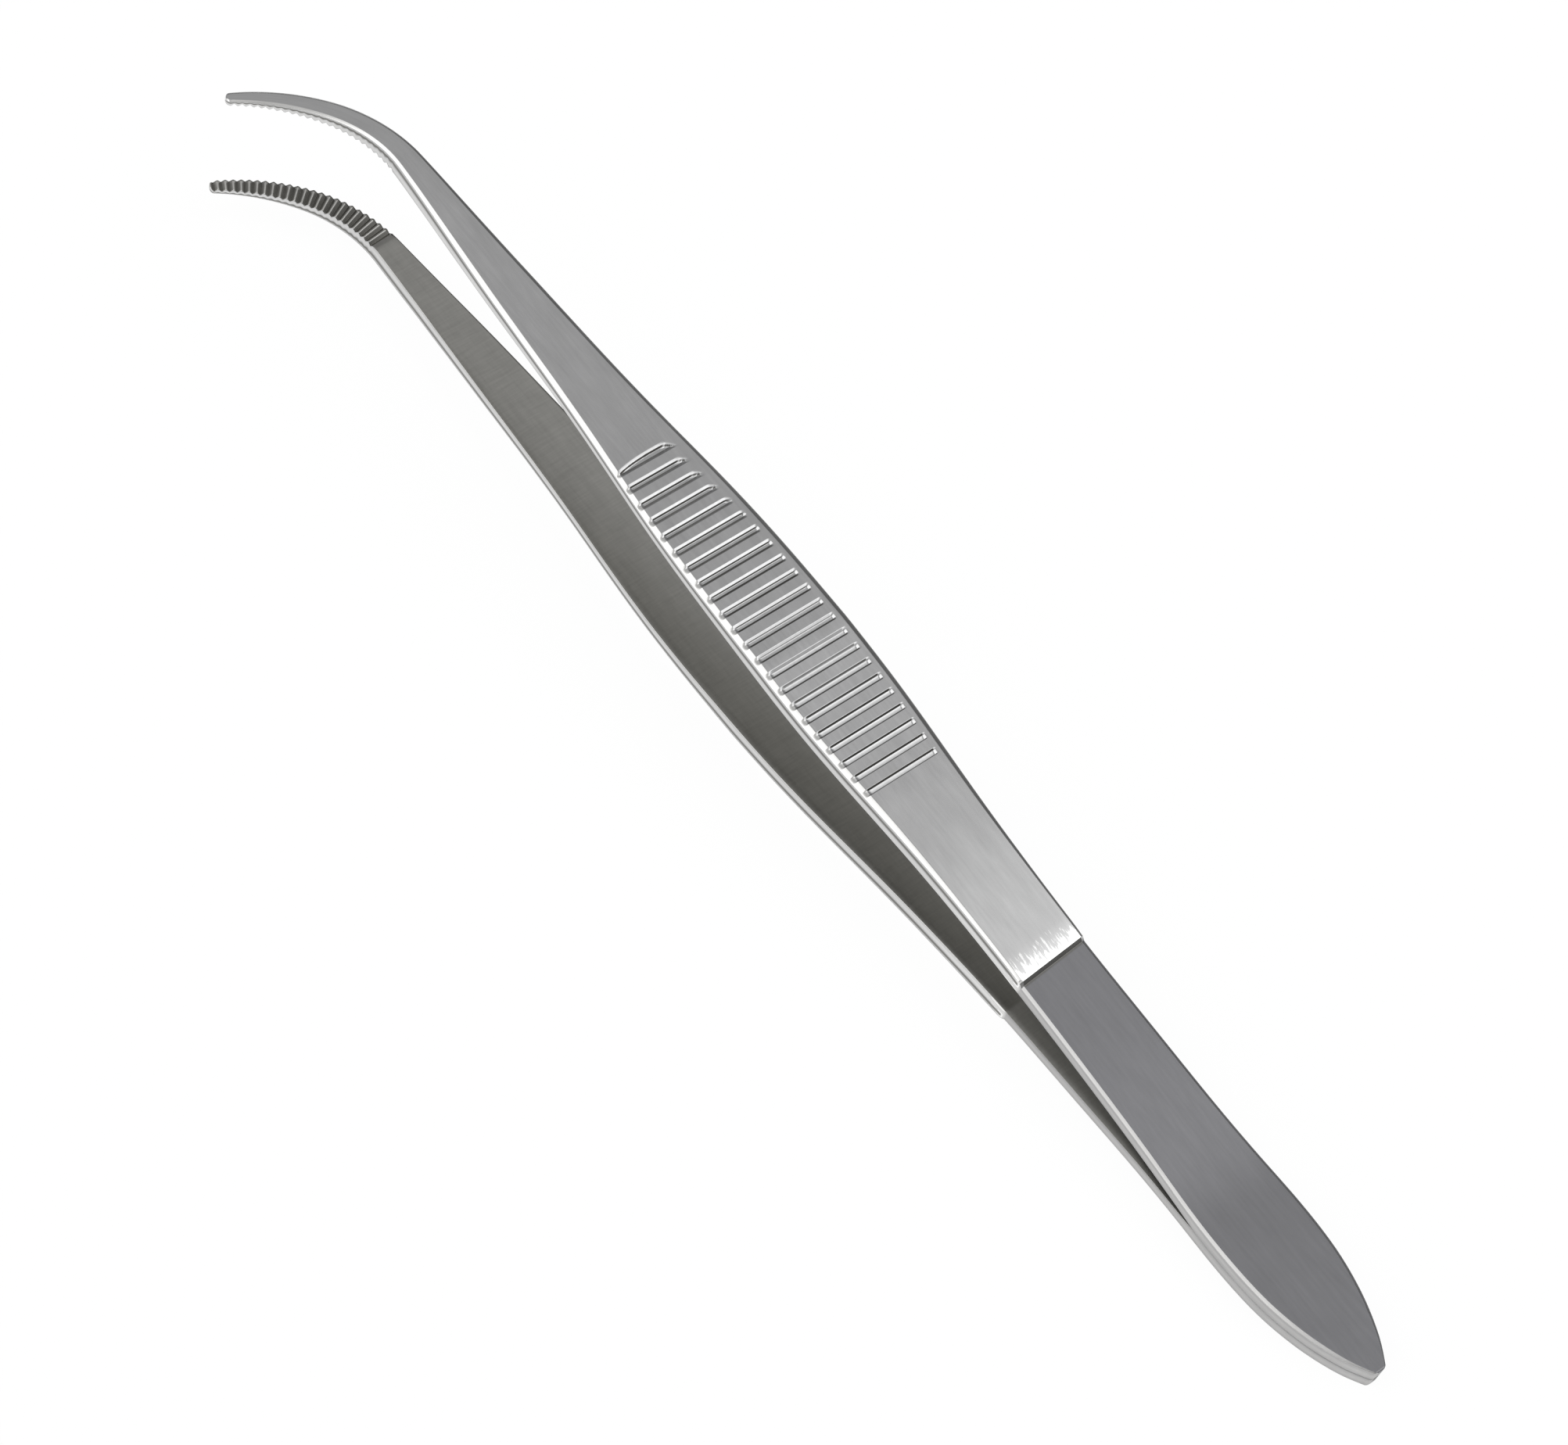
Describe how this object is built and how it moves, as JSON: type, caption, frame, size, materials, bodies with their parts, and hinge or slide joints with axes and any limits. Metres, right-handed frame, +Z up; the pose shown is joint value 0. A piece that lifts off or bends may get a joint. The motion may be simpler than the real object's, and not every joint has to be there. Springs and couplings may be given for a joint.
{
  "type": "thumb forceps",
  "caption": "Thumb forceps with curved serrated jaws, a cross-grooved grip and a leaf-shaped welded heel.",
  "frame": {"origin": "centre of the bounding box's bottom, on the plane that the forceps rests on", "axes": "+X from the heel to the jaws along the arms, +Y to the side that the jaws curve to, +Z up from the resting plane"},
  "size_m": [0.1258, 0.0126, 0.0143],
  "materials": {
    "satin_steel": "satin-brushed stainless steel, cool grey, with brighter worn edges"
  },
  "bodies": {
    "root": {"upper_arm": "satin_steel", "lower_arm": "satin_steel"}
  },
  "joints": []
}
